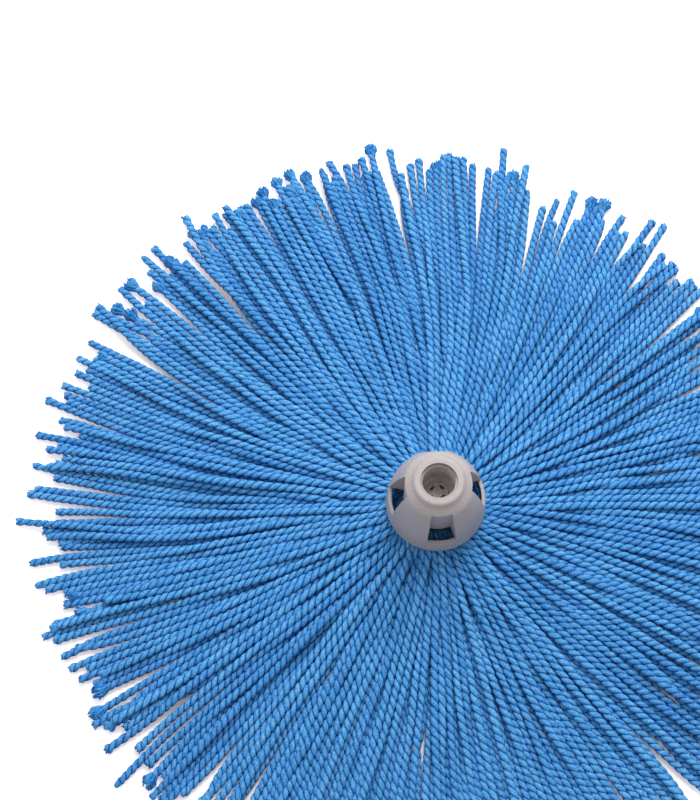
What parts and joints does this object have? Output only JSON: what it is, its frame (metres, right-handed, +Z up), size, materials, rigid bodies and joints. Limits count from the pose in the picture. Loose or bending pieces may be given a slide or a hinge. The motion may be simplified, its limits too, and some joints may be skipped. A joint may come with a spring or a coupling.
{
  "type": "spin mop head",
  "caption": "Round mop head: a bell with a threaded handle socket turns freely over a wide fan of twisted microfibre yarns clamped under it.",
  "frame": {"origin": "on the floor, under the middle of the head as it lies on its yarns", "axes": "+Z up along the handle's axis, out of the handle socket; +X and +Y across the yarns"},
  "size_m": [0.524, 0.524, 0.0707],
  "materials": {
    "cap_plastic": "satin grey-beige moulding",
    "plug_plastic": "pale moulding",
    "washer_plastic": "slippery white nylon",
    "carrier_plastic": "grey moulding",
    "screw_metal": "yellow zinc plating",
    "yarn": "soft twisted microfibre yarn"
  },
  "bodies": {
    "bell": {"socket_cap": "cap_plastic"},
    "yarn_head": {"pivot_plug": "plug_plastic", "thrust_washer": "washer_plastic", "yarn_carrier": "carrier_plastic", "clamp_plate": "carrier_plastic", "centre_screw": "screw_metal", "yarn_centre": "yarn", "yarn_lower_01": "yarn", "yarn_lower_02": "yarn", "yarn_lower_03": "yarn", "yarn_lower_04": "yarn", "yarn_lower_05": "yarn", "yarn_lower_06": "yarn", "yarn_lower_07": "yarn", "yarn_lower_08": "yarn", "yarn_lower_09": "yarn", "yarn_lower_10": "yarn", "yarn_lower_11": "yarn", "yarn_lower_12": "yarn", "yarn_upper_01": "yarn", "yarn_upper_02": "yarn", "yarn_upper_03": "yarn", "yarn_upper_04": "yarn", "yarn_upper_05": "yarn", "yarn_upper_06": "yarn", "yarn_upper_07": "yarn", "yarn_upper_08": "yarn", "yarn_upper_09": "yarn", "yarn_upper_10": "yarn", "yarn_upper_11": "yarn", "yarn_upper_12": "yarn"}
  },
  "joints": [
    {"name": "head_spin", "type": "hinge", "parent": "bell", "child": "yarn_head", "pos_m": [0, 0, 0.048], "axis": [0, 0, 1], "continuous": true}
  ]
}
